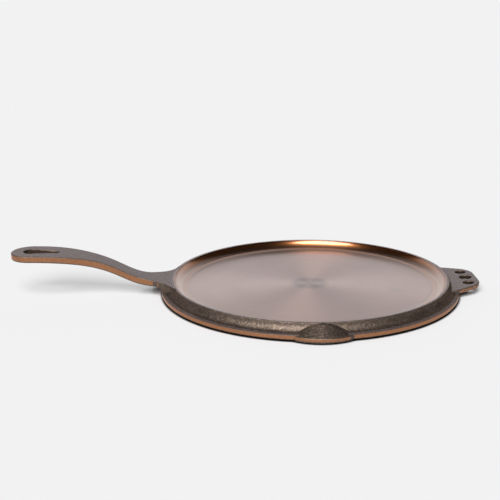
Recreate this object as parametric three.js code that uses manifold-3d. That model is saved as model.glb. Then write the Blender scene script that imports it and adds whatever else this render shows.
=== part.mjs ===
// A cast iron griddle: a shallow round plate with a turned cooking surface, a long
// rising handle, a helper tab with three holes and two side lugs.
// Millimetres, +Z up. The origin is the centre of the plate on the plane it rests on.
// The handle points along -X, the helper tab along +X and the lugs along -Y and +Y.
//
// The real griddle is poured in one piece. Its sections are separate solids here: the
// floor, the turned wall, the lip with its skirt, the base flange, the three lengths of
// the handle, the tab and the lugs.

import * as THREE from "three";
import { mergeVertices } from "three/addons/utils/BufferGeometryUtils.js";
import { ConvexGeometry } from "three/addons/geometries/ConvexGeometry.js";
import Module from "manifold-3d";

const wasm = await Module();
wasm.setup();

// Round plate
const floorRadius = 114.8;
const floorThickness = 6.55;
const wellDepth = 7.25;
const wallRun = 13.8;
const landWidth = 2.9;
const coveRun = 6.2;
const ledgeWidth = 2.7;
const flangeHeight = 5.4;
const groundBandHeight = 3.4;
const footInset = 3.2;

// Handle, seen from above
const handleReach = 148.5;
const waistReach = 32;
const waistWidth = 22;
const gripWidth = 37.6;
const endStraight = 2.2;
const waistLeadShare = 0.588;
const gripLeadShare = 0.482;

// Handle, seen from the side
const shoulderReach = 4.5;
const shoulderHeight = 1.5;
const riseHeight = 28.6;
const levelLength = 14.2;
const riseLeadShare = 0.372;
const riseSettleShare = 0.734;
const neckDrop = 3.7;
const neckFlatLength = 3.6;
const gripThickness = 6.15;
const underLeadShare = 0.251;
const underSettleShare = 0.723;

// Where one length of the handle meets the next
const neckLength = 35;
const endLength = 47;

// Hanging hole, a teardrop that narrows towards the plate
const hangHoleWidth = 15;
const hangHoleTipWidth = 6.4;
const hangHoleLength = 33;
const hangHoleRim = 11.5;

// Helper tab
const tabReach = 28.2;
const tabRootWidth = 77;
const tabTipWidth = 46;
const tabCornerRadius = 20;
const tabThickness = 3.7;
const tabRootDrop = 5.3;
const tabTipDrop = 3.6;
const tabHolePitch = 16.8;
const tabHoleReach = 18.1;
const tabMiddleHole = 11.4;
const tabSideHole = 9.8;

// Side lugs
const lugReach = 14.8;
const lugWidth = 45.5;
const lugRootWidth = 51;
const lugNoseRadius = 48;
const lugRidgeWidth = 8;
const lugRidgeDrop = 0.2;
const lugNoseHeight = 4.7;
const lugBandHeight = 2.3;
const lugFootInset = 1;
const lugFootLift = 0.7;

// Seam between the round plate and what stands out of it, and the overrun of every cut
const seam = 0.3;
const overrun = 5;

// Fineness of the curves
const turnSegments = 120;
const wallSteps = 8;
const coveSteps = 9;
const curveSteps = 20;
const noseSteps = 14;
const shoulderSteps = 6;

// Derived sizes
const rimHeight = floorThickness + wellDepth;
const wallTopRadius = floorRadius + wallRun;
const lipRadius = wallTopRadius + landWidth;
const coveFootRadius = lipRadius + coveRun;
const flangeRadius = coveFootRadius + ledgeWidth;
const bandFootHeight = flangeHeight - groundBandHeight;
const fullTurn = Math.PI * 2;
const halfTurn = fullTurn / 2;
const quarterTurn = fullTurn / 4;

// Solids and meshes

function solidOf(geometry) {
  const bare = geometry.index ? geometry.toNonIndexed() : geometry.clone();
  bare.deleteAttribute("normal");
  bare.deleteAttribute("uv");
  const merged = mergeVertices(bare);
  return new wasm.Manifold(new wasm.Mesh({
    numProp: 3,
    vertProperties: new Float32Array(merged.attributes.position.array),
    triVerts: new Uint32Array(merged.index.array),
  }));
}

function geometryOf(solid) {
  const mesh = solid.getMesh();
  const geometry = new THREE.BufferGeometry();
  geometry.setAttribute("position", new THREE.BufferAttribute(mesh.vertProperties, mesh.numProp));
  geometry.setIndex(new THREE.BufferAttribute(mesh.triVerts, 1));
  return geometry;
}

// A closed profile of (radius, height) points turned about the plate's axis
function turned(points) {
  const geometry = new THREE.LatheGeometry(points.map(([r, h]) => new THREE.Vector2(r, h)), turnSegments);
  geometry.rotateX(quarterTurn);
  return geometry;
}

// An outline in the X-Y plane, raised from one height to another
function raised(shape, low, high) {
  const geometry = new THREE.ExtrudeGeometry(shape, {
    depth: high - low,
    bevelEnabled: false,
    curveSegments: curveSteps,
  });
  geometry.translate(0, 0, low);
  return geometry;
}

// An outline in the X-Z plane, spread to both sides of the plane of symmetry
function spread(shape, halfWidth) {
  const geometry = new THREE.ExtrudeGeometry(shape, {
    depth: halfWidth + halfWidth,
    bevelEnabled: false,
    curveSegments: curveSteps,
  });
  geometry.rotateX(quarterTurn);
  geometry.translate(0, halfWidth, 0);
  return geometry;
}

// Materials

const turnedIron = { color: 0xb3a099, metalness: 0.85, roughness: 0.38 };
const castSkin = { color: 0x4a423e, metalness: 0.35, roughness: 0.62 };
const groundEdge = { color: 0xa8764f, metalness: 0.85, roughness: 0.42 };

const griddle = new THREE.Group();

function add(name, geometry, look) {
  const mesh = new THREE.Mesh(geometry, new THREE.MeshStandardMaterial(look));
  mesh.name = name;
  griddle.add(mesh);
}

// Profiles of the round plate

// The turned wall: a concave arc, level where it leaves the floor
function wallArc() {
  const radius = (wallRun * wallRun + wellDepth * wellDepth) / (wellDepth + wellDepth);
  const sweep = Math.asin(wallRun / radius);
  const points = [];
  for (let step = 0; step <= wallSteps; step += 1) {
    const angle = sweep * step / wallSteps;
    const r = floorRadius + radius * Math.sin(angle);
    const h = floorThickness + radius - radius * Math.cos(angle);
    points.push([r, h]);
  }
  return points;
}

// The cast cove outside the lip, upright at the lip and level at the ledge
function coveArc(growth) {
  const drop = rimHeight - flangeHeight;
  const points = [];
  for (let step = 0; step <= coveSteps; step += 1) {
    const angle = quarterTurn * step / coveSteps;
    const r = lipRadius + coveRun - coveRun * Math.cos(angle) + growth;
    const h = rimHeight - drop * Math.sin(angle) + growth;
    points.push([r, h]);
  }
  return points;
}

const floorProfile = [
  [0, 0],
  [floorRadius, 0],
  [floorRadius, floorThickness],
  [0, floorThickness],
];

const wallProfile = [
  [wallTopRadius, 0],
  [wallTopRadius, rimHeight],
  ...wallArc().reverse().slice(1),
  [floorRadius, 0],
  [wallTopRadius, 0],
];

const skirtProfile = [
  [wallTopRadius, flangeHeight],
  [coveFootRadius, flangeHeight],
  ...coveArc(0).reverse().slice(1),
  [wallTopRadius, rimHeight],
  [wallTopRadius, flangeHeight],
];

const flangeProfile = [
  [wallTopRadius, 0],
  [flangeRadius - footInset, 0],
  [flangeRadius, bandFootHeight],
  [flangeRadius, flangeHeight],
  [wallTopRadius, flangeHeight],
  [wallTopRadius, 0],
];

// The rounded shoulder on which the handle's top comes up off the lip
function shoulderArc() {
  const points = [];
  for (let step = 1; step <= shoulderSteps; step += 1) {
    const angle = quarterTurn * step / shoulderSteps;
    const r = lipRadius + seam + shoulderReach - shoulderReach * Math.cos(angle);
    const h = rimHeight + seam + (shoulderHeight - seam) * Math.sin(angle);
    points.push([r, h]);
  }
  return points;
}

// All that the round plate fills, grown by the seam, with the room above the shoulder:
// it is taken out of what meets the plate
const envelopeProfile = [
  [0, -overrun],
  [flangeRadius + seam, -overrun],
  [flangeRadius + seam, flangeHeight + seam],
  ...coveArc(seam).reverse(),
  ...shoulderArc(),
  [lipRadius + seam + shoulderReach, rimHeight + overrun],
  [0, rimHeight + overrun],
];

const envelope = solidOf(turned(envelopeProfile));

add("cooking_floor", turned(floorProfile), turnedIron);
add("turned_wall", turned(wallProfile), turnedIron);
add("lip_skirt", turned(skirtProfile), castSkin);
add("base_flange", turned(flangeProfile), groundEdge);

// Handle

// Seen from above: a hollow arc on each side runs off the lip's circle to the waist,
// then the sides swell to the grip and close in a half round
function handleOutline() {
  const waistHalf = waistWidth / 2;
  const gripHalf = gripWidth / 2;
  const waistX = -(lipRadius + waistReach);
  const roundX = -(lipRadius + handleReach) + gripHalf;
  const gripX = roundX + endStraight;
  const waistLead = waistLeadShare * (waistX - gripX);
  const gripLead = gripLeadShare * (waistX - gripX);

  // The flare's radius makes it touch the lip's circle
  const flareRadius = (waistX * waistX + waistHalf * waistHalf - lipRadius * lipRadius)
    / (lipRadius + lipRadius - waistWidth);
  const flareY = waistHalf + flareRadius;
  const flareEnd = Math.atan2(-flareY, -waistX);

  const shape = new THREE.Shape();
  shape.moveTo(0, -lipRadius * Math.sin(Math.atan2(flareY, -waistX)));
  shape.absarc(waistX, flareY, flareRadius, flareEnd, -quarterTurn, true);
  shape.bezierCurveTo(waistX - waistLead, waistHalf, gripX + gripLead, gripHalf, gripX, gripHalf);
  shape.lineTo(roundX, gripHalf);
  shape.absarc(roundX, 0, gripHalf, quarterTurn, halfTurn + quarterTurn, false);
  shape.lineTo(gripX, -gripHalf);
  shape.bezierCurveTo(gripX + gripLead, -gripHalf, waistX - waistLead, -waistHalf, waistX, -waistHalf);
  shape.absarc(waistX, -flareY, flareRadius, quarterTurn, -flareEnd, true);
  return shape;
}

// Seen from the side: a little above the lip at the root, rising along the neck and
// levelling out at the end, with a hollow fillet down to the flange's ledge at the root
function handleSide() {
  const gripTop = rimHeight + riseHeight;
  const gripUnder = gripTop - gripThickness;
  const neckTop = rimHeight + shoulderHeight;
  const neckUnder = rimHeight - neckDrop;
  const ledgeTop = flangeHeight + seam;
  const filletRadius = neckUnder - ledgeTop;

  const endX = -(lipRadius + handleReach) - overrun;
  const levelX = -(lipRadius + handleReach) + levelLength;
  const shoulderX = -(lipRadius + seam + shoulderReach);
  const riseLead = riseLeadShare * (shoulderX - levelX);
  const riseSettle = riseSettleShare * (shoulderX - levelX);
  const filletX = -(flangeRadius + filletRadius);
  const underX = filletX - neckFlatLength;
  const underLead = underLeadShare * (underX - levelX);
  const underSettle = underSettleShare * (underX - levelX);

  const shape = new THREE.Shape();
  shape.moveTo(0, neckTop);
  shape.lineTo(shoulderX, neckTop);
  shape.bezierCurveTo(shoulderX - riseLead, neckTop, levelX + riseSettle, gripTop, levelX, gripTop);
  shape.lineTo(endX, gripTop);
  shape.lineTo(endX, gripUnder);
  shape.lineTo(levelX, gripUnder);
  shape.bezierCurveTo(levelX + underSettle, gripUnder, underX - underLead, neckUnder, underX, neckUnder);
  shape.lineTo(filletX, neckUnder);
  shape.absarc(filletX, ledgeTop, filletRadius, quarterTurn, 0, true);
  shape.lineTo(0, ledgeTop);
  return shape;
}

// The teardrop: a large round near the handle's end and a small one towards the plate
function hangHoleOutline() {
  const largeRadius = hangHoleWidth / 2;
  const smallRadius = hangHoleTipWidth / 2;
  const largeX = -(lipRadius + handleReach) + hangHoleRim + largeRadius;
  const smallX = -(lipRadius + handleReach) + hangHoleRim + hangHoleLength - smallRadius;
  const lean = Math.asin((largeRadius - smallRadius) / (smallX - largeX));

  const shape = new THREE.Shape();
  shape.absarc(largeX, 0, largeRadius, quarterTurn - lean, -quarterTurn + lean, false);
  shape.absarc(smallX, 0, smallRadius, -quarterTurn + lean, quarterTurn - lean, false);
  return shape;
}

// A block that holds all of the handle between two reaches beyond the lip
function handleBlock(nearReach, farReach) {
  const shape = new THREE.Shape();
  shape.moveTo(-(lipRadius + nearReach), -overrun);
  shape.lineTo(-(lipRadius + nearReach), rimHeight + riseHeight + overrun);
  shape.lineTo(-(lipRadius + farReach), rimHeight + riseHeight + overrun);
  shape.lineTo(-(lipRadius + farReach), -overrun);
  return solidOf(spread(shape, lipRadius));
}

const handleTop = rimHeight + riseHeight + overrun;
const handleBody = solidOf(raised(handleOutline(), -overrun, handleTop))
  .intersect(solidOf(spread(handleSide(), lipRadius)))
  .subtract(envelope)
  .subtract(solidOf(raised(hangHoleOutline(), -overrun, handleTop)));

const gripStart = neckLength;
const endStart = handleReach - endLength;
const neck = handleBody.intersect(handleBlock(-lipRadius, gripStart));
const grip = handleBody.intersect(handleBlock(gripStart, endStart));
const handleEnd = handleBody.intersect(handleBlock(endStart, handleReach + overrun));

add("handle_neck", geometryOf(neck), castSkin);
add("handle_grip", geometryOf(grip), castSkin);
add("handle_end", geometryOf(handleEnd), castSkin);

// Helper tab

// Straight slanted flanks, rounded corners and a straight tip, with the holes cut out
function tabOutline() {
  const tipX = lipRadius + tabReach;
  const rootX = lipRadius;
  const tipHalf = tabTipWidth / 2;
  const rootHalf = tabRootWidth / 2;
  const slant = Math.atan2(rootHalf - tipHalf, tipX - rootX);
  const turn = quarterTurn - slant;
  const tangent = tabCornerRadius * Math.tan(turn / 2);
  const cornerX = tipX - tabCornerRadius;
  const cornerY = tipHalf - tangent;

  const shape = new THREE.Shape();
  shape.moveTo(0, -rootHalf);
  shape.lineTo(rootX, -rootHalf);
  shape.absarc(cornerX, -cornerY, tabCornerRadius, -turn, 0, false);
  shape.absarc(cornerX, cornerY, tabCornerRadius, 0, turn, false);
  shape.lineTo(rootX, rootHalf);
  shape.lineTo(0, rootHalf);

  // The holes lie on one circle about the plate's centre
  const holeCircle = lipRadius + tabHoleReach;
  const pitchAngle = Math.asin(tabHolePitch / holeCircle);
  for (const place of [-1, 0, 1]) {
    const angle = place * pitchAngle;
    const size = place === 0 ? tabMiddleHole : tabSideHole;
    const hole = new THREE.Path();
    hole.absarc(holeCircle * Math.cos(angle), holeCircle * Math.sin(angle), size / 2, 0, -fullTurn, true);
    shape.holes.push(hole);
  }
  return shape;
}

// Seen from the side the tab is one slab that rises a little towards its tip
function tabSide() {
  const tipX = lipRadius + tabReach;
  const innerDrop = tabRootDrop + (tabRootDrop - tabTipDrop) / tabReach * lipRadius;

  const shape = new THREE.Shape();
  shape.moveTo(0, rimHeight - innerDrop);
  shape.lineTo(0, rimHeight - innerDrop - tabThickness);
  shape.lineTo(tipX, rimHeight - tabTipDrop - tabThickness);
  shape.lineTo(tipX, rimHeight - tabTipDrop);
  return shape;
}

const tab = solidOf(raised(tabOutline(), -overrun, rimHeight))
  .intersect(solidOf(spread(tabSide(), tabRootWidth)))
  .subtract(envelope);
add("helper_tab", geometryOf(tab), castSkin);

// Side lugs

// The ground nose is an arc in plan, and the flanks spread towards the plate. The top
// falls from a short ridge at the lip to the nose, so it cuts the cove in an arch. Below
// the ground band the nose draws in a little, and it stops short of the resting plane.
function lugSolid(side) {
  const noseY = lipRadius + lugReach;
  const centreY = noseY - lugNoseRadius;
  const sweep = Math.asin(lugWidth / 2 / lugNoseRadius);
  const innerY = lipRadius - overrun;
  const bandFoot = lugNoseHeight - lugBandHeight;
  const points = [];

  for (let step = 0; step <= noseSteps; step += 1) {
    const angle = sweep * (step + step - noseSteps) / noseSteps;
    const x = lugNoseRadius * Math.sin(angle);
    const y = centreY + lugNoseRadius * Math.cos(angle);
    const footScale = (lugNoseRadius - lugFootInset) / lugNoseRadius;
    const footY = centreY + (y - centreY) * footScale;
    points.push(new THREE.Vector3(x, side * y, lugNoseHeight));
    points.push(new THREE.Vector3(x, side * y, bandFoot));
    points.push(new THREE.Vector3(x * footScale, side * footY, lugFootLift));
  }
  for (const end of [-1, 1]) {
    const rootX = end * lugRootWidth / 2;
    const ridgeX = end * lugRidgeWidth / 2;
    points.push(new THREE.Vector3(rootX, side * innerY, flangeHeight));
    points.push(new THREE.Vector3(rootX, side * innerY, lugFootLift));
    points.push(new THREE.Vector3(ridgeX, side * innerY, rimHeight - lugRidgeDrop));
    points.push(new THREE.Vector3(ridgeX, side * (lipRadius + seam), rimHeight - lugRidgeDrop));
  }
  return solidOf(new ConvexGeometry(points)).subtract(envelope);
}

add("near_lug", geometryOf(lugSolid(-1)), castSkin);
add("far_lug", geometryOf(lugSolid(1)), castSkin);

export default griddle;
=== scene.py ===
# A cast iron griddle: a turned round plate with a long rising handle, a helper tab with
# three holes and two side lugs, on a plain pale floor in soft studio light.
# Metres, +Z up. The handle points along -X, the tab along +X, the lugs along -Y and +Y.

import math

import bmesh
import bpy
from mathutils import Matrix, Vector
from mathutils.geometry import interpolate_bezier


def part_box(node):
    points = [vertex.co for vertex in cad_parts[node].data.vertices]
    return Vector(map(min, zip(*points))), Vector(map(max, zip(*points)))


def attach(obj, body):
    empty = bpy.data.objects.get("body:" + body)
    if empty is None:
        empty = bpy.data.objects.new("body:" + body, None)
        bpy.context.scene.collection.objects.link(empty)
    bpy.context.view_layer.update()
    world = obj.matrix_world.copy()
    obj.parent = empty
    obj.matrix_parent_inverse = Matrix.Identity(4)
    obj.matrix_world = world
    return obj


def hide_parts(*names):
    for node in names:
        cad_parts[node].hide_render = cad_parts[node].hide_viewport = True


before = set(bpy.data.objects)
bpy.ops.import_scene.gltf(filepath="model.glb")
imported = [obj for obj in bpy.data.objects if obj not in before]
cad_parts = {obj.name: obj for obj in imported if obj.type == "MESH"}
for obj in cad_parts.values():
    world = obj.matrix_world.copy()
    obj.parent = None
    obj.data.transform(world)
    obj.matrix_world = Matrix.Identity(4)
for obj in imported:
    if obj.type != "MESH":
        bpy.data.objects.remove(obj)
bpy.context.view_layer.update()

MM = 0.001
QUARTER_TURN = math.pi / 2

# Sizes that come from the frame

floor_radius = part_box("cooking_floor")[1].x
floor_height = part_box("cooking_floor")[1].z
wall_top_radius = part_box("turned_wall")[1].x
rim_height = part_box("turned_wall")[1].z
cove_foot_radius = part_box("lip_skirt")[1].x
flange_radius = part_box("base_flange")[1].x
flange_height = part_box("base_flange")[1].z
handle_end_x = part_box("handle_end")[0].x
grip_half_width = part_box("handle_end")[1].y
grip_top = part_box("handle_end")[1].z
tab_tip_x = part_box("helper_tab")[1].x
tab_root_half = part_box("helper_tab")[1].y
lug_nose_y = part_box("far_lug")[1].y
lug_ridge_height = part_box("far_lug")[1].z
lug_foot_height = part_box("far_lug")[0].z

# Sizes that follow the frame's solids

LAND_WIDTH = 2.9 * MM
GROUND_BAND = 3.4 * MM
WAIST_REACH = 32 * MM
WAIST_HALF = 11 * MM
END_STRAIGHT = 2.2 * MM
SHOULDER_REACH = 4.8 * MM
SHOULDER_HEIGHT = 1.5 * MM
LEVEL_LENGTH = 14.2 * MM
NECK_DROP = 3.7 * MM
NECK_FLAT = 3.6 * MM
GRIP_THICKNESS = 6.15 * MM
HOLE_RIM = 11.5 * MM
HOLE_RADIUS = 7.5 * MM
HOLE_TIP_RADIUS = 3.2 * MM
HOLE_LENGTH = 33 * MM
TAB_TIP_HALF = 23 * MM
TAB_CORNER = 20 * MM
TAB_THICKNESS = 3.7 * MM
TAB_ROOT_DROP = 5.3 * MM
TAB_TIP_DROP = 3.6 * MM
TAB_HOLE_PITCH = 16.8 * MM
TAB_HOLE_REACH = 18.1 * MM
TAB_MIDDLE_RADIUS = 5.7 * MM
TAB_SIDE_RADIUS = 4.9 * MM
LUG_HALF = 24.3 * MM
LUG_ROOT_HALF = 26 * MM
LUG_NOSE_RADIUS = 44 * MM
LUG_RIDGE_ROUND = 7 * MM
LUG_NOSE_HEIGHT = 4.7 * MM

WAIST_LEAD_SHARE = 0.588
GRIP_LEAD_SHARE = 0.482
RISE_LEAD_SHARE = 0.372
RISE_SETTLE_SHARE = 0.734
UNDER_LEAD_SHARE = 0.251
UNDER_SETTLE_SHARE = 0.723

lip_radius = wall_top_radius + LAND_WIDTH
waist_x = -(lip_radius + WAIST_REACH)

# Edges and overlaps that only the finished surface has

EDGE_RADIUS = 0.75 * MM
UNDER_EDGE = 1.2 * MM
TAB_EDGE = 0.6 * MM
TAB_UNDER_EDGE = 0.3 * MM
LUG_EDGE = 0.4 * MM
LUG_UNDER_EDGE = 0.5 * MM
LUG_CORNER = 3 * MM
BAND_EDGE = 0.3 * MM
FOOT_SHOWN_INSET = 1.2 * MM
FOOT_EDGE = 0.3 * MM
LEDGE_DROP = 0.9 * MM
FLOOR_STEP_RUN = 1.2 * MM
FLOOR_STEP_RISE = 0.35 * MM
WALL_FOOT_RUN = 5.8 * MM
WALL_FOOT_RISE = 1.0 * MM
SHOULDER_RUN = 15 * MM
ROOT_LAP = 1.3 * MM
LUG_ROOT = 2 * MM
LAP = 0.02 * MM
SINK = 0.3 * MM
OVERRUN = 1 * MM
MERGE = 0.001 * MM

# Where one finish gives way to the next

# Width of the lighter turned strip at the wall's top, partly a painted highlight
GLINT_RING_WIDTH = 0.75 * MM
# Width of the fine strip of darker skin between the land and that ring, a painted shade line
SHADE_LINE_WIDTH = 0.35 * MM
HOLE_ZONE_HALF = 9 * MM
NECK_GROUND_REACH = 15.7 * MM
NECK_PATCH_REACH = 11.8 * MM
NECK_PATCH_HALF = 1.4 * MM
NECK_PATCH_GROUND = 0.48
TAB_GROUND_REACH = 4 * MM
TAB_GROUND_FADE = 1 * MM
TAB_GROUND = 0.5
LUG_BAND = 2.4 * MM
LUG_GROUND_END = 20.5 * MM
LUG_GROUND_FADE = 2.5 * MM
# How far the painted light of the tops stops short of their edges, and how steeply a face must look
# up to get it
DARK_EDGE = 0.4 * MM
TOP_FACING = 0.6
UPRIGHT_FACING = 0.3

neck_ground_x = -(lip_radius + NECK_GROUND_REACH)
neck_patch_x = -(lip_radius + NECK_PATCH_REACH)
tab_ground_x = lip_radius + TAB_GROUND_REACH

# Fineness

TURN_STEPS = 256
ARC_STEPS = 12
NOSE_STEPS = 28
EDGE_STEPS = 3
BEND_STEP = 2.5 * MM
ROOT_STEP = 1.2 * MM
CROSS_STEP = 3.4 * MM
LUG_STEP = 2 * MM
LUG_LANES = 7
LUG_STATIONS = 12
FLOOR_RING_SHARES = (0, 0.15, 0.5, 0.97, 1)
SMOOTH_ANGLE = math.radians(38)

# Marks on the turned surface, some of them painted shade or painted highlight colour. A share is
# how much of its colour a mark adds at its strongest.

TOOL_RINGS = 900.0
BAND_SHARE = 0.35
SPOT_MIDDLE = 11.1 * MM
SPOT_DARK = 13.32 * MM
SPOT_EDGE = 20.35 * MM
SPOT_SHARE = 0.7
SPOT_ROUGHENS = 0.06
SCUFF_PLACE = (79 * MM, -26 * MM, 0)
SCUFF_TURN = (0, 0, math.radians(-43))
SCUFF_SIZE = (12 * MM, 6 * MM, 1)
SCUFF_SHARE = 0.7
# Painted shade: the floor darkens towards the wall on the far side, which dims its reflection of
# the far wall
FAR_EDGE_SHADE_RUN = 30 * MM
FAR_EDGE_SHADE_SHARE = 0.6
# Painted shade under the middle of the far wall, where the floor mirrors its highlight
GLARE_SHADE_RUN = 18 * MM
GLARE_SHADE_CORE = 22 * MM
GLARE_SHADE_HALF = 66 * MM
GLARE_SHADE_SHARE = 0.75
# Painted shade: the dark line in the corner at the foot of the wall
CORNER_HALF = 2 * MM
CORNER_SHADE_SHARE = 0.7
# How far across the plate the painted shade and the copper tint, partly painted highlight colour,
# come in
TINT_START = 5 * MM
TINT_FULL = 65 * MM
TINT_LEAST = 0.05
TINT_RISE = 2.6 * MM
DARK_RISE = 4.2 * MM
DARK_BLEND = 1.3 * MM

# Grain of the cast and the ground iron

CAST_GRAIN = 780.0
GROUND_GRAIN = 900.0
LUMP_SHARE = 0.45
LUMP_HEIGHT = 1.2
FLECK_SHARE = 0.5
# Heights where the painted black shade at the foot of the cast is full, and where it ends
FOOT_SHADE_FULL = 0.7 * MM
FOOT_SHADE_END = 1.4 * MM

# The span that most values of a noise pattern lie in

NOISE_SPAN = (0.3, 0.7)

# Colours of the seasoning, with painted shade and painted highlight colour among them

BAND_BROWN = (0.33, 0.19, 0.15, 1)
SPOT_BROWN = (0.16, 0.115, 0.105, 1)
SCUFF_BROWN = (0.2, 0.14, 0.125, 1)
# Painted shade on the floor towards the far wall
FAR_EDGE_SHADE = (0.2, 0.105, 0.07, 1)
# Painted shade where the floor mirrors the far wall's highlight
GLARE_SHADE_BROWN = (0.09, 0.05, 0.032, 1)
# Painted shade in the corner at the foot of the wall
CORNER_SHADE_BROWN = (0.1, 0.055, 0.035, 1)
# Copper tint of the wall, partly the iron's own colour and partly painted colour of the key light's
# highlight; darker on the upper wall
WALL_COPPER_GLARE = (0.46, 0.165, 0.052, 1)
TOP_COPPER_GLARE = (0.22, 0.072, 0.03, 1)
GROUND_DARK = (0.33, 0.152, 0.077, 1)
GROUND_LIGHT = (0.43, 0.206, 0.11, 1)
UNGROUND = (0.06, 0.042, 0.033, 1)
# Painted shade: the near-black of the cast close to the floor
FOOT_SHADE_BLACK = (0.012, 0.01, 0.009, 1)
PLAIN_SHEEN = (1, 1, 1, 1)

# The stage

FLOOR_HALF = 30.0
FLOOR_CELLS = 8
FLOOR_COLOUR = (0.69, 0.69, 0.695, 1)
# Painted shadow on the floor where it meets the iron
TOUCH_SHADE_COLOUR = (0.01, 0.01, 0.01, 1)
FLOOR_GLOW = 0.5
TOUCH_SHADE_REACH = 3 * MM
TOUCH_SHADE_SPAN = (0.5, 0.95)
CONTACT_REACH = 12 * MM
CONTACT_SPAN = (0.55, 1.0)
SWEEP_TOP = math.radians(20)
ROOM_START = math.radians(50)
SWEEP_FACING = (-0.061, 0.998, 0)
SWEEP_SIDE = 0.41
SWEEP_SOFTNESS = 0.15
SWEEP_COLOUR = (0.88, 0.88, 0.89, 1)
ROOM_COLOUR = (0.03, 0.03, 0.029, 1)
BACKDROP_COLOUR = (0.915, 0.915, 0.92, 1)
LIGHT_POWER = 5.0
LIGHT_SPREAD = math.radians(44)
LIGHT_FROM = (-0.23, -0.665, 0.71)
CAMERA_PLACE = (-81.6, -907.8, 296.5)
CAMERA_YAW = math.radians(1.6)
CAMERA_DIP = 0.2751
CAMERA_ROLL = 0.0092
CAMERA_LENS = 72
CAMERA_SENSOR = 36
CAMERA_NEAR = 10 * MM


# Outlines and profiles

def arc(centre, radius, start, end, steps=ARC_STEPS):
    """Points on a round arc, both ends included."""
    angles = [start + (end - start) * step / steps for step in range(steps + 1)]
    return [(centre[0] + radius * math.cos(a), centre[1] + radius * math.sin(a)) for a in angles]


def swell(start, lead, settle, end, steps=ARC_STEPS):
    """Points on a Bezier curve, both ends included."""
    knots = [Vector((*point, 0)) for point in (start, lead, settle, end)]
    return [(point.x, point.y) for point in interpolate_bezier(*knots, steps + 1)]


def rounded(corners):
    """A closed outline from (x, y, radius) corners. A corner with radius 0 stays sharp."""
    outline = []
    for index, (x, y, radius) in enumerate(corners):
        corner = Vector((x, y))
        if radius == 0:
            outline.append((x, y))
            continue
        before = (Vector(corners[index - 1][:2]) - corner).normalized()
        after = (Vector(corners[(index + 1) % len(corners)][:2]) - corner).normalized()
        half_angle = before.angle(after) / 2
        centre = corner + (before + after).normalized() * (radius / math.sin(half_angle))
        first = corner + before * (radius / math.tan(half_angle)) - centre
        last = corner + after * (radius / math.tan(half_angle)) - centre
        for step in range(EDGE_STEPS + 1):
            spoke = first.slerp(last, step / EDGE_STEPS).normalized()
            outline.append(tuple(centre + spoke * first.length))
    return outline


def height_at(line, x):
    """The height of a side line at x. The line runs outwards from the plate, so its x falls."""
    for (x_near, z_near), (x_far, z_far) in zip(line, line[1:]):
        if x >= x_far:
            share = (x_near - x) / (x_near - x_far)
            return z_near + (z_far - z_near) * max(share, 0)
    return line[-1][1]


def ease(share):
    """A smooth step from 0 to 1."""
    share = min(max(share, 0), 1)
    return share * share * (3 - 2 * share)


# Meshes

def everything(bm):
    """All points, edges and faces of a bmesh, as the operators take them."""
    return bm.verts[:] + bm.edges[:] + bm.faces[:]


def turned_solid(profile):
    """A closed profile of (radius, height) points, spun a full turn about the plate's axis."""
    bm = bmesh.new()
    verts = [bm.verts.new((r, 0, z)) for r, z in profile]
    edges = [bm.edges.new(pair) for pair in zip(verts, verts[1:] + verts[:1])]
    bmesh.ops.spin(bm, geom=verts + edges, axis=(0, 0, 1), cent=(0, 0, 0), angle=math.tau,
                   steps=TURN_STEPS, use_merge=True)
    bmesh.ops.remove_doubles(bm, verts=bm.verts, dist=MERGE)
    return bm


def mirrored_plan(half_outline):
    """A flat region on both sides of the X axis, from the outline of its +Y half."""
    bm = bmesh.new()
    bm.faces.new([bm.verts.new((x, y, 0)) for x, y in half_outline])
    bmesh.ops.mirror(bm, geom=everything(bm), axis="Y", merge_dist=MERGE)
    return bm


def pierced_plan(loops):
    """A flat region inside the first loop and outside the others."""
    bm = bmesh.new()
    edges = []
    for loop in loops:
        verts = [bm.verts.new((x, y, 0)) for x, y in loop]
        edges += [bm.edges.new(pair) for pair in zip(verts, verts[1:] + verts[:1])]
    bmesh.ops.triangle_fill(bm, edges=edges, use_beauty=True)
    return bm


def edge_drop(depth, radius):
    """How far a rounded edge lies below the flat at a given depth inside the outline."""
    if depth >= radius:
        return 0
    return radius - math.sqrt(radius * radius - (radius - depth) ** 2)


def slab(bm, top, under, top_edge, under_edge, stations=(), lanes=()):
    """Thickens a flat region between two height functions and rounds its edges. Cuts across
    it at the stations and along it at the lanes, so that it can bend there. Returns the layer
    that holds each point's depth inside the outline, which is 0 on the flanks."""
    depth = bm.verts.layers.float.new("depth")
    goals = set()
    for radius in (top_edge, under_edge):
        for step in range(1, EDGE_STEPS + 1):
            goals.add(radius * (1 - math.cos(QUARTER_TURN * step / EDGE_STEPS)))
    reached = 0
    inner = bm.faces[:]
    for goal in sorted(goals):
        ring = bmesh.ops.inset_region(bm, faces=inner, use_boundary=True, use_even_offset=True,
                                      thickness=goal - reached)["faces"]
        inner = [face for face in inner if face not in ring]
        for face in inner:
            for vert in face.verts:
                vert[depth] = goal
        reached = goal

    for axis, places in (((1, 0, 0), stations), ((0, 1, 0), lanes)):
        for place in places:
            bmesh.ops.bisect_plane(bm, geom=everything(bm), dist=MERGE,
                                   plane_co=Vector(axis) * place, plane_no=axis)

    low = bm.verts[:]
    risen = bmesh.ops.extrude_face_region(bm, geom=bm.faces[:])["geom"]
    for vert in low:
        vert.co.z = under(vert.co.x, vert.co.y) + edge_drop(vert[depth], under_edge)
    for vert in risen:
        if isinstance(vert, bmesh.types.BMVert):
            vert.co.z = top(vert.co.x, vert.co.y) - edge_drop(vert[depth], top_edge)
    return depth


def paint(bm, finishes, finish_of):
    """Gives each face the finish that finish_of tells for it."""
    bmesh.ops.recalc_face_normals(bm, faces=bm.faces)
    for face in bm.faces:
        face.material_index = finishes.index(finish_of(face))


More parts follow.
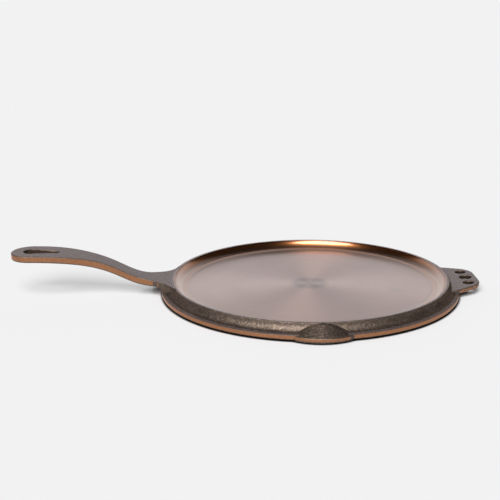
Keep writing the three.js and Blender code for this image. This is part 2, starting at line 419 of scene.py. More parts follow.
def paint_slab(bm, depth, finishes, flank_finish):
    """Paints a cast slab. flank_finish tells the finish of a flank by the place of its centre."""
    def finish_of(face):
        inset = [vert[depth] for vert in face.verts]
        if max(inset) == 0:
            return flank_finish(face.calc_center_median())
        # Faces that look up get the lighter copy of the skin, a painted light, stopping DARK_EDGE
        # short of the edge
        on_top = face.normal.z > TOP_FACING and min(inset) > DARK_EDGE
        return cast_lit_top if on_top else cast

    paint(bm, finishes, finish_of)


def piece_from(name, bm, finishes, ground_at=None):
    """Makes a bmesh a named piece. ground_at tells how brightly the edge is ground at a point."""
    bmesh.ops.recalc_face_normals(bm, faces=bm.faces)
    mesh = bpy.data.meshes.new(name)
    bm.to_mesh(mesh)
    bm.free()
    for finish in finishes:
        mesh.materials.append(finish)
    mesh.shade_smooth()
    mesh.set_sharp_from_angle(angle=SMOOTH_ANGLE)
    if ground_at:
        attribute = mesh.attributes.new("ground", "FLOAT", "POINT")
        attribute.data.foreach_set("value", [ground_at(vert.co) for vert in mesh.vertices])
    piece = bpy.data.objects.new(name, mesh)
    bpy.context.scene.collection.objects.link(piece)
    return piece


# Shader building

def add(tree, kind, inputs=None, **settings):
    """A node with its settings. An input is a value, or another node's output."""
    node = tree.nodes.new("ShaderNode" + kind)
    for name, value in settings.items():
        setattr(node, name, value)
    for name, value in (inputs or {}).items():
        if isinstance(value, bpy.types.NodeSocket):
            tree.links.new(value, node.inputs[name])
        else:
            node.inputs[name].default_value = value
    return node


def feed(tree, sockets, values):
    """Joins each value to the socket of that name."""
    for name, value in values.items():
        tree.links.new(value, sockets[name])


def maths(tree, operation, first, second=0.0):
    """One step of arithmetic on two values."""
    return add(tree, "Math", {0: first, 1: second}, operation=operation).outputs[0]


def product(tree, first, *others):
    """Several values multiplied together."""
    for other in others:
        first = maths(tree, "MULTIPLY", first, other)
    return first


def blend_colours(tree, share, first, second):
    """The first colour where share is 0, and the second where it is 1. On a Mix node for
    colours, sockets 6 and 7 are its colours and output 2 is the result."""
    return add(tree, "Mix", {0: share, 6: first, 7: second}, data_type="RGBA").outputs[2]


def spread_over(tree, value, low, high, to_low=0.0, to_high=1.0):
    """Maps a value from one range to another, and keeps it there."""
    inputs = {0: value, 1: low, 2: high, 3: to_low, 4: to_high}
    return add(tree, "MapRange", inputs).outputs[0]


def own_place(tree):
    """The place on the piece, in the shared frame."""
    return add(tree, "TexCoord").outputs["Object"]


def length_of(tree, vector):
    """How long a vector is."""
    return add(tree, "VectorMath", {0: vector}, operation="LENGTH").outputs["Value"]


def clouds(tree, place, scale, detail, roughness):
    """Noise that changes in every direction."""
    inputs = {"Vector": place, "Scale": scale, "Detail": detail, "Roughness": roughness}
    return add(tree, "TexNoise", inputs).outputs["Fac"]


def streaks(tree, along, scale, detail):
    """Noise that changes with one value only."""
    inputs = {"W": along, "Scale": scale, "Detail": detail}
    return add(tree, "TexNoise", inputs, noise_dimensions="1D").outputs["Fac"]


def bump(tree, height, strength, depth):
    """A normal tilted by fine relief, which is depth deep where height goes from 0 to 1."""
    inputs = {"Height": height, "Strength": strength, "Distance": depth}
    return add(tree, "Bump", inputs).outputs[0]


def new_group(name, inputs, outputs):
    """An empty node group. Its inputs come with their default values."""
    tree = bpy.data.node_groups.new(name, "ShaderNodeTree")
    for socket, default in inputs.items():
        made = tree.interface.new_socket(name=socket, in_out="INPUT", socket_type="NodeSocketFloat")
        made.default_value = default
    for socket in outputs:
        tree.interface.new_socket(name=socket, in_out="OUTPUT", socket_type="NodeSocketFloat")
    entry = tree.nodes.new("NodeGroupInput")
    leave = tree.nodes.new("NodeGroupOutput")
    return tree, entry.outputs, leave.inputs


def place_group(tree, group, **values):
    """A group placed in a material with values of its own."""
    node = tree.nodes.new("ShaderNodeGroup")
    node.node_tree = group
    for name, value in values.items():
        node.inputs[name].default_value = value
    return node.outputs


def new_material(name, **sockets):
    """A material with a Principled shader whose plain values are set on its own sockets."""
    material = bpy.data.materials.new(name)
    material.use_nodes = True
    shader = material.node_tree.nodes["Principled BSDF"]
    for socket, value in sockets.items():
        shader.inputs[socket.replace("_", " ")].default_value = value
    return material, material.node_tree, shader.inputs


def sand_cast_skin():
    """What moulding sand leaves on iron: rounded grains, fine pits, and light and dark patches."""
    tree, inputs, outputs = new_group(
        "sand cast skin", {"Grain": GROUND_GRAIN}, ["Height", "Fleck", "Patch"])
    place = own_place(tree)
    grains = add(tree, "TexVoronoi", {"Vector": place, "Scale": inputs["Grain"]},
                 feature="SMOOTH_F1").outputs["Distance"]
    lump_scale = product(tree, inputs["Grain"], LUMP_SHARE)
    lumps = clouds(tree, place, scale=lump_scale, detail=3.0, roughness=0.6)
    patches = clouds(tree, place, scale=38.0, detail=4.0, roughness=0.6)
    height = maths(tree, "SUBTRACT", product(tree, lumps, LUMP_HEIGHT), grains)
    feed(tree, outputs, {
        "Height": height,
        "Fleck": spread_over(tree, height, 0.1, 0.55),
        "Patch": spread_over(tree, patches, *NOISE_SPAN),
    })
    return tree


def tool_rings():
    """What the turning tool leaves: fine rings about the plate's axis, and slow bands."""
    tree, inputs, outputs = new_group(
        "tool rings", {"Rings": TOOL_RINGS}, ["Height", "Band", "Radius"])
    flat = add(tree, "VectorMath", {0: own_place(tree), 1: (1, 1, 0)}, operation="MULTIPLY")
    radius = length_of(tree, flat.outputs[0])
    ringed = product(tree, radius, inputs["Rings"])
    feed(tree, outputs, {
        "Height": streaks(tree, ringed, scale=1.0, detail=2.0),
        "Band": streaks(tree, radius, scale=60.0, detail=3.0),
        "Radius": radius,
    })
    return tree


cast_group = sand_cast_skin()
ring_group = tool_rings()


# Finishes

def spot_mask(tree, radius):
    """The dull spot at the turning centre: a dark ring with a lighter middle."""
    ring = spread_over(tree, radius, SPOT_DARK, SPOT_EDGE, 1.0, 0.0)
    middle = spread_over(tree, radius, 0.0, SPOT_MIDDLE, 0.5, 1.0)
    return product(tree, ring, middle)


def scuff_mask(tree, place, stain):
    """A short oval scuff on the floor, broken up by the stain."""
    inputs = {"Vector": place, "Location": SCUFF_PLACE, "Rotation": SCUFF_TURN, "Scale": SCUFF_SIZE}
    on_scuff = add(tree, "Mapping", inputs, vector_type="TEXTURE").outputs[0]
    inside = spread_over(tree, length_of(tree, on_scuff), 0.0, 1.0, SCUFF_SHARE, 0.0)
    return product(tree, inside, stain)


def glare_shade_mask(tree, radius, axes):
    """Painted shade on the floor close under the middle of the far wall, where the floor mirrors
    that wall's highlight.
    """
    wall_side = spread_over(tree, radius, floor_radius - GLARE_SHADE_RUN, floor_radius - CORNER_HALF)
    on_floor = spread_over(tree, radius, floor_radius, floor_radius + CORNER_HALF, GLARE_SHADE_SHARE, 0.0)
    farthest = spread_over(tree, axes["Y"], TINT_FULL, floor_radius - CORNER_HALF)
    sideways = maths(tree, "ABSOLUTE", axes["X"])
    middle = spread_over(tree, sideways, GLARE_SHADE_CORE, GLARE_SHADE_HALF, 1.0, 0.0)
    return product(tree, wall_side, on_floor, farthest, middle)


def corner_shade_mask(tree, radius):
    """A painted shade: the fine dark line in the corner where the floor meets the wall."""
    off_corner = maths(tree, "ABSOLUTE", maths(tree, "SUBTRACT", radius, floor_radius))
    return spread_over(tree, off_corner, 0.0, CORNER_HALF, CORNER_SHADE_SHARE, 0.0)


def wall_copper_and_glare(tree, height):
    """How much copper tint a height on the hollow wall has, and its colour there. The tint is
    partly the iron's own colour and partly painted highlight colour, darker on the upper wall.
    """
    foot = floor_height + WALL_FOOT_RISE
    dark_from = foot + DARK_RISE
    share = spread_over(tree, height, foot, foot + TINT_RISE)
    upper = spread_over(tree, height, dark_from, dark_from + DARK_BLEND)
    return share, blend_colours(tree, upper, WALL_COPPER_GLARE, TOP_COPPER_GLARE)


def turned_iron(name, metallic, coat, coat_rough, anisotropy, low_rough, high_rough, light, dark):
    """The turned and lightly seasoned cooking surface: bronze-tinted and ringed, with a dull centre
    spot and a scuff. Painted shade darkens the floor towards the far wall and lines the corner at
    the wall's foot, and the wall's copper tint is partly painted colour of the key light's
    highlight."""
    material, tree, shader = new_material(
        name, Metallic=metallic, Anisotropic=anisotropy, Anisotropic_Rotation=0.25,
        Coat_Weight=coat, Coat_Roughness=coat_rough,
    )
    place = own_place(tree)
    axes = add(tree, "SeparateXYZ", {0: place}).outputs
    rings = place_group(tree, ring_group, Rings=TOOL_RINGS)
    radius = rings["Radius"]
    stain = clouds(tree, place, scale=16.0, detail=5.0, roughness=0.62)
    spot = spot_mask(tree, radius)
    edge = spread_over(tree, radius, floor_radius - FAR_EDGE_SHADE_RUN, floor_radius,
                       0.0, FAR_EDGE_SHADE_SHARE)
    far_side = spread_over(tree, axes["Y"], TINT_START, TINT_FULL)
    off_middle = maths(tree, "ABSOLUTE", axes["Y"])
    both_sides = spread_over(tree, off_middle, TINT_START, TINT_FULL, TINT_LEAST, 1.0)
    copper_glare_share, copper = wall_copper_and_glare(tree, axes["Z"])

    colour = blend_colours(tree, spread_over(tree, stain, 0.35, 0.7), light, dark)
    layers = [
        (spread_over(tree, rings["Band"], *NOISE_SPAN, 0.0, BAND_SHARE), BAND_BROWN),
        (product(tree, spot, SPOT_SHARE), SPOT_BROWN),
        (scuff_mask(tree, place, stain), SCUFF_BROWN),
        # painted shade on the floor towards the far wall, which dims its reflection of that wall
        (product(tree, edge, far_side), FAR_EDGE_SHADE),
        # painted shade where the floor mirrors the far wall's highlight
        (glare_shade_mask(tree, radius, axes), GLARE_SHADE_BROWN),
        # painted shade in the corner at the wall's foot, on the near and far sides
        (product(tree, corner_shade_mask(tree, radius), both_sides), CORNER_SHADE_BROWN),
        # copper tint, partly painted highlight colour, heaviest on the near and far walls
        (product(tree, copper_glare_share, both_sides), copper),
    ]
    for share, tint in layers:
        colour = blend_colours(tree, share, colour, tint)

    stained_rough = spread_over(tree, stain, *NOISE_SPAN, low_rough, high_rough)
    feed(tree, shader, {
        "Base Color": colour,
        "Roughness": maths(tree, "ADD", stained_rough, product(tree, spot, SPOT_ROUGHENS)),
        "Normal": bump(tree, rings["Height"], strength=0.25, depth=0.02 * MM),
        "Tangent": add(tree, "Tangent", direction_type="RADIAL", axis="Z").outputs[0],
    })
    return material


def cast_skin(name, metallic, sheen, dark, light, fleck, low_rough, high_rough):
    """The seasoned skin of the casting. Near the floor it is painted black, a painted shade for the
    dark undercut and contact under the foot. sheen is how brightly it mirrors at a glancing angle."""
    material, tree, shader = new_material(name, Metallic=metallic, Specular_Tint=sheen)
    skin = place_group(tree, cast_group, Grain=CAST_GRAIN)
    height = add(tree, "SeparateXYZ", {0: own_place(tree)}).outputs["Z"]
    plain = blend_colours(tree, skin["Patch"], dark, light)
    flecked = blend_colours(tree, product(tree, skin["Fleck"], FLECK_SHARE), plain, fleck)
    # Painted shade: near-black low down, for the undercut and contact at the foot
    foot_shade = spread_over(tree, height, FOOT_SHADE_FULL, FOOT_SHADE_END, 1.0, 0.0)
    feed(tree, shader, {
        "Base Color": blend_colours(tree, foot_shade, flecked, FOOT_SHADE_BLACK),
        "Roughness": spread_over(tree, skin["Patch"], 0.0, 1.0, low_rough, high_rough),
        "Normal": bump(tree, skin["Height"], strength=0.8, depth=0.35 * MM),
    })
    return material


def ground_edge():
    """The bronze ground edge, which fades to cast skin where the grinder can't reach."""
    material, tree, shader = new_material("ground_edge", IOR=1.5)
    skin = place_group(tree, cast_group, Grain=GROUND_GRAIN)
    reach = add(tree, "Attribute", attribute_name="ground").outputs["Fac"]
    grit = clouds(tree, own_place(tree), scale=420.0, detail=4.0, roughness=0.7)
    broken = maths(tree, "ADD", reach, maths(tree, "SUBTRACT", grit, 0.5))
    bright = spread_over(tree, broken, 0.35, 0.6)
    bronze = blend_colours(tree, spread_over(tree, grit, *NOISE_SPAN), GROUND_DARK, GROUND_LIGHT)
    relief = blend_colours(tree, bright, skin["Height"], grit)
    feed(tree, shader, {
        "Base Color": blend_colours(tree, bright, UNGROUND, bronze),
        "Metallic": spread_over(tree, bright, 0.0, 1.0, 0.15, 0.95),
        "Roughness": spread_over(tree, grit, 0.2, 0.8, 0.34, 0.48),
        "Normal": bump(tree, relief, strength=0.35, depth=0.12 * MM),
    })
    return material


floor_finish = turned_iron(
    "turned_floor_iron", metallic=0.72, coat=1.0, coat_rough=0.2, anisotropy=0.78,
    low_rough=0.36, high_rough=0.4,
    light=(0.375, 0.232, 0.197, 1), dark=(0.33, 0.204, 0.174, 1),
)
foot_finish = turned_iron(
    "turned_foot_iron", metallic=0.45, coat=0.8, coat_rough=0.2, anisotropy=0.5,
    low_rough=0.36, high_rough=0.4,
    light=(0.375, 0.225, 0.165, 1), dark=(0.33, 0.197, 0.145, 1),
)
wall_finish = turned_iron(
    "turned_wall_iron", metallic=1.0, coat=1.0, coat_rough=0.12, anisotropy=0.8,
    low_rough=0.3, high_rough=0.34,
    light=(0.49, 0.325, 0.242, 1), dark=(0.44, 0.292, 0.22, 1),
)
cast = cast_skin(
    "cast_skin", metallic=1.0, sheen=(0.42, 0.38, 0.39, 1), low_rough=0.52, high_rough=0.58,
    dark=(0.11, 0.084, 0.07, 1), light=(0.148, 0.113, 0.093, 1), fleck=(0.34, 0.25, 0.18, 1),
)
# Painted shade: a near-black copy of the cast skin for the walls of the holes
hole_shade_black = cast_skin(
    "hole_shade_black", metallic=0.6, sheen=(0.5, 0.45, 0.42, 1), low_rough=0.5, high_rough=0.56,
    dark=(0.03, 0.02, 0.014, 1), light=(0.045, 0.03, 0.02, 1), fleck=(0.1, 0.062, 0.04, 1),
)
cast_ledge = cast_skin(
    "cast_ledge", metallic=0.6, sheen=(0.6, 0.54, 0.5, 1), low_rough=0.44, high_rough=0.5,
    dark=(0.1, 0.075, 0.07, 1), light=(0.13, 0.1, 0.093, 1), fleck=(0.26, 0.2, 0.18, 1),
)
# Painted light: a lighter copy of the cast skin for faces that look up
cast_lit_top = cast_skin(
    "cast_lit_top", metallic=0.6, sheen=PLAIN_SHEEN, low_rough=0.42, high_rough=0.48,
    dark=(0.14, 0.107, 0.105, 1), light=(0.175, 0.137, 0.134, 1), fleck=(0.32, 0.26, 0.25, 1),
)
# Partly a turned strip of bare iron at the wall's top, partly a painted highlight for the glint on
# its edge
turned_glint_ring = cast_skin(
    "turned_glint_ring", metallic=0.7, sheen=PLAIN_SHEEN, low_rough=0.3, high_rough=0.36,
    dark=(0.34, 0.28, 0.265, 1), light=(0.4, 0.335, 0.32, 1), fleck=(0.46, 0.4, 0.38, 1),
)
# Painted light: a lighter copy of the cast skin for the flat land of the lip
cast_lit_land = cast_skin(
    "cast_lit_land", metallic=0.6, sheen=PLAIN_SHEEN, low_rough=0.4, high_rough=0.46,
    dark=(0.22, 0.172, 0.168, 1), light=(0.26, 0.205, 0.2, 1), fleck=(0.36, 0.3, 0.29, 1),
)
ground = ground_edge()


# The round plate

def turned_well():
    """The flat turned floor, a low step round it, and the hollow wall up to the lip."""
    step_radius = floor_radius + FLOOR_STEP_RUN
    foot_radius = floor_radius + WALL_FOOT_RUN
    foot_height = floor_height + WALL_FOOT_RISE
    run = wall_top_radius - foot_radius
    rise = rim_height - foot_height
    hollow = (run * run + rise * rise) / (rise + rise)
    sweep = math.asin(run / hollow)
    wall_centre = (foot_radius, foot_height + hollow)
    profile = [(0, 0)]
    profile += [(floor_radius * share, floor_height) for share in FLOOR_RING_SHARES]
    profile.append((step_radius, floor_height + FLOOR_STEP_RISE))
    profile += arc(wall_centre, hollow, -QUARTER_TURN, sweep - QUARTER_TURN)
    profile.append((wall_top_radius, 0))

    def finish_of(face):
        centre = face.calc_center_median()
        radius = centre.xy.length
        if centre.z < floor_height / 2:
            return cast
        if radius > foot_radius:
            return wall_finish
        return foot_finish if radius > step_radius else floor_finish

    bm = turned_solid(profile)
    finishes = [floor_finish, foot_finish, wall_finish, cast]
    paint(bm, finishes, finish_of)
    return piece_from("turned_well", bm, finishes)


def flange_ground(co):
    """The flange is ground all round, but for a short stretch beside each lug."""
    beside_lug = LUG_GROUND_END < co.x < LUG_HALF + LUG_GROUND_FADE
    return 0.0 if beside_lug else 1.0


def cast_rim():
    """The cast lip, the cove under it, and the flange with its ground edge."""
    cove_run = cove_foot_radius - lip_radius
    cove_drop = rim_height - flange_height - LEDGE_DROP
    ring_edge = wall_top_radius + GLINT_RING_WIDTH
    line_edge = ring_edge + SHADE_LINE_WIDTH
    corners = [
        (wall_top_radius, 0, 0),
        (flange_radius - FOOT_SHOWN_INSET, 0, FOOT_EDGE),
        (flange_radius, flange_height - GROUND_BAND, BAND_EDGE),
        (flange_radius, flange_height, BAND_EDGE),
    ]
    for step in range(ARC_STEPS):
        angle = QUARTER_TURN * (1 - step / ARC_STEPS)
        corners.append((lip_radius + cove_run * (1 - math.cos(angle)),
                        rim_height - cove_drop * math.sin(angle), 0))
    corners.append((lip_radius, rim_height, EDGE_RADIUS))
    corners += [(radius, rim_height, 0) for radius in (line_edge, ring_edge, wall_top_radius)]
    band_middle = flange_height - GROUND_BAND / 2

    def finish_of(face):
        centre = face.calc_center_median()
        radius = centre.xy.length
        on_flange = radius > cove_foot_radius
        on_land = centre.z > rim_height - MERGE
        if on_flange and abs(centre.z - band_middle) < GROUND_BAND / 3:
            return ground
        if on_flange and centre.z > flange_height:
            return cast_ledge
        # The land gets the lighter skin, a painted light
        if on_land and radius > line_edge:
            return cast_lit_land
        # The strip between land and ring keeps the darker skin as a painted shade line; the strip
        # at the wall's top is turned iron with a painted highlight
        return turned_glint_ring if on_land and radius < ring_edge else cast

    bm = turned_solid(rounded(corners))
    finishes = [cast, ground, cast_lit_land, turned_glint_ring, cast_ledge]
    paint(bm, finishes, finish_of)
    return piece_from("cast_rim", bm, finishes, flange_ground)


# The handle

def handle_outline():
    """The +Y half of the handle seen from above, with the hanging hole as a bay in it."""
    round_x = handle_end_x + grip_half_width
    grip_x = round_x + END_STRAIGHT
    lead = WAIST_LEAD_SHARE * (waist_x - grip_x)
    settle = GRIP_LEAD_SHARE * (waist_x - grip_x)
    flare = (waist_x ** 2 + WAIST_HALF ** 2 - lip_radius ** 2) / (lip_radius - WAIST_HALF) / 2
    flare_y = WAIST_HALF + flare
    root_angle = math.atan2(flare_y, -waist_x)

    root = [(-r, y) for r, y in arc((0, 0), lip_radius - ROOT_LAP, 0, root_angle)]
    hollow = arc((waist_x, flare_y), flare, -root_angle, -QUARTER_TURN, ARC_STEPS * 2)
    side = swell((waist_x, WAIST_HALF), (waist_x - lead, WAIST_HALF),
                 (grip_x + settle, grip_half_width), (grip_x, grip_half_width), ARC_STEPS * 3)
    end = arc((round_x, 0), grip_half_width, QUARTER_TURN, 2 * QUARTER_TURN, ARC_STEPS * 2)

    large_x = handle_end_x + HOLE_RIM + HOLE_RADIUS
    small_x = handle_end_x + HOLE_RIM + HOLE_LENGTH - HOLE_TIP_RADIUS
    lean = math.asin((HOLE_RADIUS - HOLE_TIP_RADIUS) / (small_x - large_x))
    hole = arc((large_x, 0), HOLE_RADIUS, 2 * QUARTER_TURN, QUARTER_TURN - lean)
    hole += arc((small_x, 0), HOLE_TIP_RADIUS, QUARTER_TURN - lean, 0)
    return root + hollow + side[1:] + end + hole


def handle_lines():
    """The handle's top and underside, seen from the side."""
    neck_top = rim_height + SHOULDER_HEIGHT
    neck_under = rim_height - NECK_DROP
    level_x = handle_end_x + LEVEL_LENGTH
    last_x = handle_end_x - OVERRUN
    shoulder_x = -(lip_radius + SHOULDER_REACH)
    rise = shoulder_x - level_x
    top = [(0, neck_top)] + swell(
        (shoulder_x, neck_top), (shoulder_x - RISE_LEAD_SHARE * rise, neck_top),
        (level_x + RISE_SETTLE_SHARE * rise, grip_top), (level_x, grip_top), ARC_STEPS * 5)
    top.append((last_x, grip_top))

    fillet = neck_under - flange_height
    fillet_x = -(flange_radius + fillet)
    under_x = fillet_x - NECK_FLAT
    fall = under_x - level_x
    grip_under = grip_top - GRIP_THICKNESS
    sunk = flange_height - SINK
    corner = arc((fillet_x, flange_height), fillet, 0, QUARTER_TURN)
    under = [(0, sunk), (-flange_radius + LAP, sunk)] + corner + swell(
        (under_x, neck_under), (under_x - UNDER_LEAD_SHARE * fall, neck_under),
        (level_x + UNDER_SETTLE_SHARE * fall, grip_under), (level_x, grip_under), ARC_STEPS * 5)
    under.append((last_x, grip_under))
    return top, under


def handle_ground(co):
    """The flank is ground up to the neck, and in one small patch closer to the plate."""
    if co.x < neck_ground_x:
        return 1.0
    return NECK_PATCH_GROUND if abs(co.x - neck_patch_x) < NECK_PATCH_HALF else 0.0


def handle():
    """The handle from its flare on the lip to its wide end with the hanging hole."""
    top_line, under_line = handle_lines()

    def top(x, y):
        height = height_at(top_line, x)
        climb = ease((math.hypot(x, y) - lip_radius) / SHOULDER_RUN)
        return rim_height + LAP + (height - rim_height - LAP) * climb

    def under(x, y):
        return height_at(under_line, x)

    root_end = -(flange_radius + NECK_DROP + SHOULDER_REACH)
    stations = []
    x = -lip_radius + ROOT_STEP
    while x > handle_end_x:
        x -= ROOT_STEP if x > root_end else BEND_STEP
        stations.append(x)
    flare_reach = lip_radius / 3
    lanes = []
    for step in range(1, math.ceil(flare_reach / CROSS_STEP)):
        lanes += [step * CROSS_STEP, -step * CROSS_STEP]

    hole_start = handle_end_x + HOLE_RIM / 2
    ground_end = neck_patch_x + 2 * NECK_PATCH_HALF

    def flank_finish(centre):
        # The hole walls get the near-black skin, a painted shade
        if hole_start < centre.x < waist_x and abs(centre.y) < HOLE_ZONE_HALF:
            return hole_shade_black
        return ground if centre.x < ground_end else cast

    bm = mirrored_plan(handle_outline())
    depth = slab(bm, top, under, EDGE_RADIUS, UNDER_EDGE, stations, lanes)
    finishes = [cast, ground, cast_lit_top, hole_shade_black]
    paint_slab(bm, depth, finishes, flank_finish)
    return piece_from("handle", bm, finishes, handle_ground)


# The helper tab

def tab_outline():
    """The tab seen from above: slanted flanks, rounded corners and a straight tip."""
    slant = math.atan2(tab_root_half - TAB_TIP_HALF, tab_tip_x - lip_radius)
    turn = QUARTER_TURN - slant
    corner_x = tab_tip_x - TAB_CORNER
    corner_y = TAB_TIP_HALF - TAB_CORNER * math.tan(turn / 2)
    inner_x = math.sqrt((lip_radius - ROOT_LAP) ** 2 - tab_root_half ** 2)
    outline = [(inner_x, -tab_root_half), (lip_radius, -tab_root_half)]
    outline += arc((corner_x, -corner_y), TAB_CORNER, -turn, 0)
    outline += arc((corner_x, corner_y), TAB_CORNER, 0, turn)
    outline += [(lip_radius, tab_root_half), (inner_x, tab_root_half)]
    return outline


def tab_holes():
    """The centre and radius of each hole. They lie on a circle about the plate's axis."""
    circle = lip_radius + TAB_HOLE_REACH
    pitch = math.asin(TAB_HOLE_PITCH / circle)
    places = ((-pitch, TAB_SIDE_RADIUS), (0, TAB_MIDDLE_RADIUS), (pitch, TAB_SIDE_RADIUS))
    return [(Vector((circle * math.cos(a), circle * math.sin(a))), radius) for a, radius in places]


def tab_ground(co):
    """The tab's edge is ground from a little way off the lip."""
    return TAB_GROUND * ease((co.x - tab_ground_x) / TAB_GROUND_FADE)


def helper_tab():
    """The flat tab opposite the handle, with its three holes. It climbs slightly outwards."""
    climb = (TAB_ROOT_DROP - TAB_TIP_DROP) / (tab_tip_x - lip_radius)
    holes = tab_holes()

    def top(x, y):
        return rim_height - TAB_ROOT_DROP + (x - lip_radius) * climb

    def under(x, y):
        return top(x, y) - TAB_THICKNESS

    def flank_finish(centre):
        # The hole walls get the near-black skin, a painted shade
        in_hole = any((centre.xy - hole).length < radius + TAB_EDGE for hole, radius in holes)
        return hole_shade_black if in_hole else ground

    hole_loops = [arc(hole, radius, 0, math.tau, ARC_STEPS * 3)[:-1] for hole, radius in holes]
    ground_steps = (tab_ground_x, tab_ground_x + TAB_GROUND_FADE)
    bm = pierced_plan([tab_outline()] + hole_loops)
    depth = slab(bm, top, under, TAB_EDGE, TAB_UNDER_EDGE, ground_steps)
    finishes = [cast, ground, cast_lit_top, hole_shade_black]
    paint_slab(bm, depth, finishes, flank_finish)
    return piece_from("helper_tab_casting", bm, finishes, tab_ground)


# The side lugs

def lug_ground(co):
    """The nose is ground, but for its end towards the tab."""
    return 1 - ease((co.x - LUG_GROUND_END) / LUG_GROUND_FADE)


def lug(name, side):
    """A lug slopes from a short ridge at the lip to a round nose with a ground band."""
    centre_y = lug_nose_y - LUG_NOSE_RADIUS
    sweep = math.asin(LUG_HALF / LUG_NOSE_RADIUS)
    inner_y = lip_radius - LUG_ROOT
    side_y = centre_y + LUG_NOSE_RADIUS * math.cos(sweep)
    corner_sweep = sweep - LUG_CORNER * 2 / LUG_NOSE_RADIUS
    nose = arc((0, centre_y), LUG_NOSE_RADIUS, QUARTER_TURN - corner_sweep,
               QUARTER_TURN + corner_sweep, NOSE_STEPS)
    corners = [(LUG_ROOT_HALF, inner_y, 0), (LUG_HALF, side_y, LUG_CORNER)]
    corners += [(x, y, 0) for x, y in nose]
    corners += [(-LUG_HALF, side_y, LUG_CORNER), (-LUG_ROOT_HALF, inner_y, 0)]
    ridge_run = math.hypot(LUG_ROOT_HALF, LUG_RIDGE_ROUND) - LUG_RIDGE_ROUND
    fall = (lug_ridge_height - flange_height) / ridge_run
    band_foot = LUG_NOSE_HEIGHT - LUG_BAND

    def top(x, y):
        ridge = lug_ridge_height - fall * (math.hypot(x, LUG_RIDGE_ROUND) - LUG_RIDGE_ROUND)
        nose_y = centre_y + math.sqrt(LUG_NOSE_RADIUS ** 2 - x * x)
        share = max(y * side - lip_radius, 0) / (nose_y - lip_radius)
        return ridge + (LUG_NOSE_HEIGHT - ridge) * share

    def under(x, y):
        return lug_foot_height

    def finish_of(face):
        upright = abs(face.normal.z) < UPRIGHT_FACING
        return ground if upright and face.calc_center_median().z > band_foot else cast

    bm = pierced_plan([[(x, y * side) for x, y in rounded(corners)]])
    stations = [step * LUG_STEP for step in range(-LUG_STATIONS, LUG_STATIONS + 1)]
    lanes = [side * (lip_radius + step * LUG_STEP) for step in range(LUG_LANES)]
    slab(bm, top, under, LUG_EDGE, LUG_UNDER_EDGE, stations, lanes)
    bmesh.ops.bisect_plane(bm, geom=everything(bm), dist=MERGE,
                           plane_co=(0, 0, band_foot), plane_no=(0, 0, 1))
    finishes = [cast, ground]
    paint(bm, finishes, finish_of)
    return piece_from(name, bm, finishes, lug_ground)


# The stage

def pale_floor():
    """A plain pale floor that runs out past the view. Close around the iron its colour is painted
    near-black, a painted contact shadow. The lens sees part of it as plain white, which keeps the
    shadows light, but not close under the iron."""
    material, tree, shader = new_material("pale_floor", Roughness=1.0, Specular_IOR_Level=0.0)
    # Painted shadow: the floor's colour goes near-black within a few millimetres of the iron
    touch_shade = add(tree, "AmbientOcclusion", {"Distance": TOUCH_SHADE_REACH}).outputs["AO"]
    clear = spread_over(tree, touch_shade, *TOUCH_SHADE_SPAN)
    feed(tree, shader, {"Base Color": blend_colours(tree, clear, TOUCH_SHADE_COLOUR, FLOOR_COLOUR)})
    glow = add(tree, "Emission", {"Color": BACKDROP_COLOUR, "Strength": 1.0}).outputs[0]
    openness = add(tree, "AmbientOcclusion", {"Distance": CONTACT_REACH}).outputs["AO"]
    open_share = spread_over(tree, openness, *CONTACT_SPAN, 0.0, FLOOR_GLOW)
    seen = add(tree, "LightPath").outputs["Is Camera Ray"]
    glow_share = product(tree, open_share, clear, seen)
    lit = tree.nodes["Principled BSDF"].outputs[0]
    surface = add(tree, "MixShader", {0: glow_share, 1: lit, 2: glow}).outputs[0]
    feed(tree, tree.nodes["Material Output"].inputs, {"Surface": surface})

    bm = bmesh.new()
    bmesh.ops.create_grid(bm, x_segments=FLOOR_CELLS, y_segments=FLOOR_CELLS, size=FLOOR_HALF)
    mesh = bpy.data.meshes.new("floor")
    bm.to_mesh(mesh)
    bm.free()
    mesh.materials.append(material)
    floor = bpy.data.objects.new("floor", mesh)
    bpy.context.scene.collection.objects.link(floor)


def studio_world():
    """A white sweep behind the object, a dark room round and above it, and a plain backdrop."""
    world = bpy.data.worlds.new("studio")
    world.use_nodes = True
    bpy.context.scene.world = world
    tree = world.node_tree
    ray = add(tree, "TexCoord").outputs["Generated"]
    height = add(tree, "SeparateXYZ", {0: ray}).outputs["Z"]
    facing = add(tree, "VectorMath", {0: ray, 1: SWEEP_FACING}, operation="DOT_PRODUCT")
    behind = spread_over(tree, facing.outputs["Value"], SWEEP_SIDE, SWEEP_SIDE + SWEEP_SOFTNESS)
    low = spread_over(tree, height, math.sin(SWEEP_TOP), math.sin(ROOM_START), 1.0, 0.0)
    room = blend_colours(tree, product(tree, behind, low), ROOM_COLOUR, SWEEP_COLOUR)
    camera_ray = add(tree, "LightPath").outputs["Is Camera Ray"]
    background = tree.nodes["Background"].inputs
    background["Strength"].default_value = 1.0
    feed(tree, background, {"Color": blend_colours(tree, camera_ray, room, BACKDROP_COLOUR)})


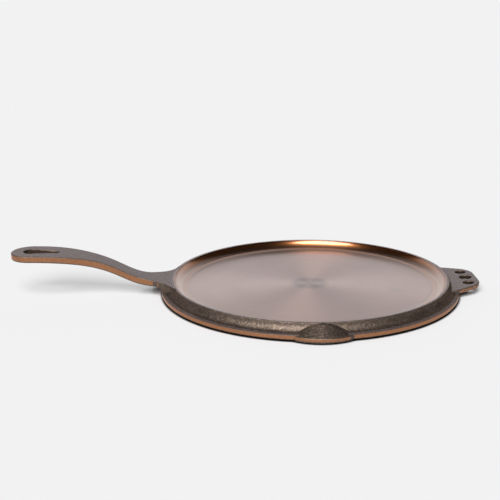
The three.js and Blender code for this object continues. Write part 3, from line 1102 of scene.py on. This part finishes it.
def key_light():
    """A broad soft light, high on the left of the camera."""
    lamp = bpy.data.lights.new("key_light", "SUN")
    lamp.energy = LIGHT_POWER
    lamp.angle = LIGHT_SPREAD
    light = bpy.data.objects.new("key_light", lamp)
    light.matrix_world = Vector(LIGHT_FROM).to_track_quat("Z", "Y").to_matrix().to_4x4()
    bpy.context.scene.collection.objects.link(light)


def photo_camera():
    """The camera at the photograph's place, turn and lens."""
    yaw_sin, yaw_cos = math.sin(CAMERA_YAW), math.cos(CAMERA_YAW)
    dip_sin, dip_cos = math.sin(CAMERA_DIP), math.cos(CAMERA_DIP)
    ahead = Vector((yaw_sin * dip_cos, yaw_cos * dip_cos, -dip_sin))
    level_right = Vector((yaw_cos, -yaw_sin, 0))
    level_up = Vector((yaw_sin * dip_sin, yaw_cos * dip_sin, dip_cos))
    right = level_right * math.cos(CAMERA_ROLL) - level_up * math.sin(CAMERA_ROLL)
    up = level_right * math.sin(CAMERA_ROLL) + level_up * math.cos(CAMERA_ROLL)
    turn = Matrix((right, up, -ahead)).transposed().to_4x4()
    data = bpy.data.cameras.new("photo_camera")
    data.lens = CAMERA_LENS
    data.sensor_width = CAMERA_SENSOR
    data.clip_start = CAMERA_NEAR
    data.clip_end = FLOOR_HALF * 4
    camera = bpy.data.objects.new("photo_camera", data)
    camera.matrix_world = Matrix.Translation(Vector(CAMERA_PLACE) * MM) @ turn
    bpy.context.scene.collection.objects.link(camera)
    bpy.context.scene.camera = camera


photo_camera()
pale_floor()
studio_world()
key_light()

pieces = [
    (turned_well(), "turned_iron", ["cooking_floor", "turned_wall"]),
    (cast_rim(), "cast_skin", ["lip_skirt", "base_flange"]),
    (handle(), "cast_skin", ["handle_neck", "handle_grip", "handle_end"]),
    (helper_tab(), "cast_skin", ["helper_tab"]),
    (lug("near_lug_casting", -1), "cast_skin", ["near_lug"]),
    (lug("far_lug_casting", 1), "cast_skin", ["far_lug"]),
]
for piece, slot, nodes in pieces:
    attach(piece, "root")
    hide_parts(*nodes)

bpy.context.scene.view_settings.view_transform = "Standard"
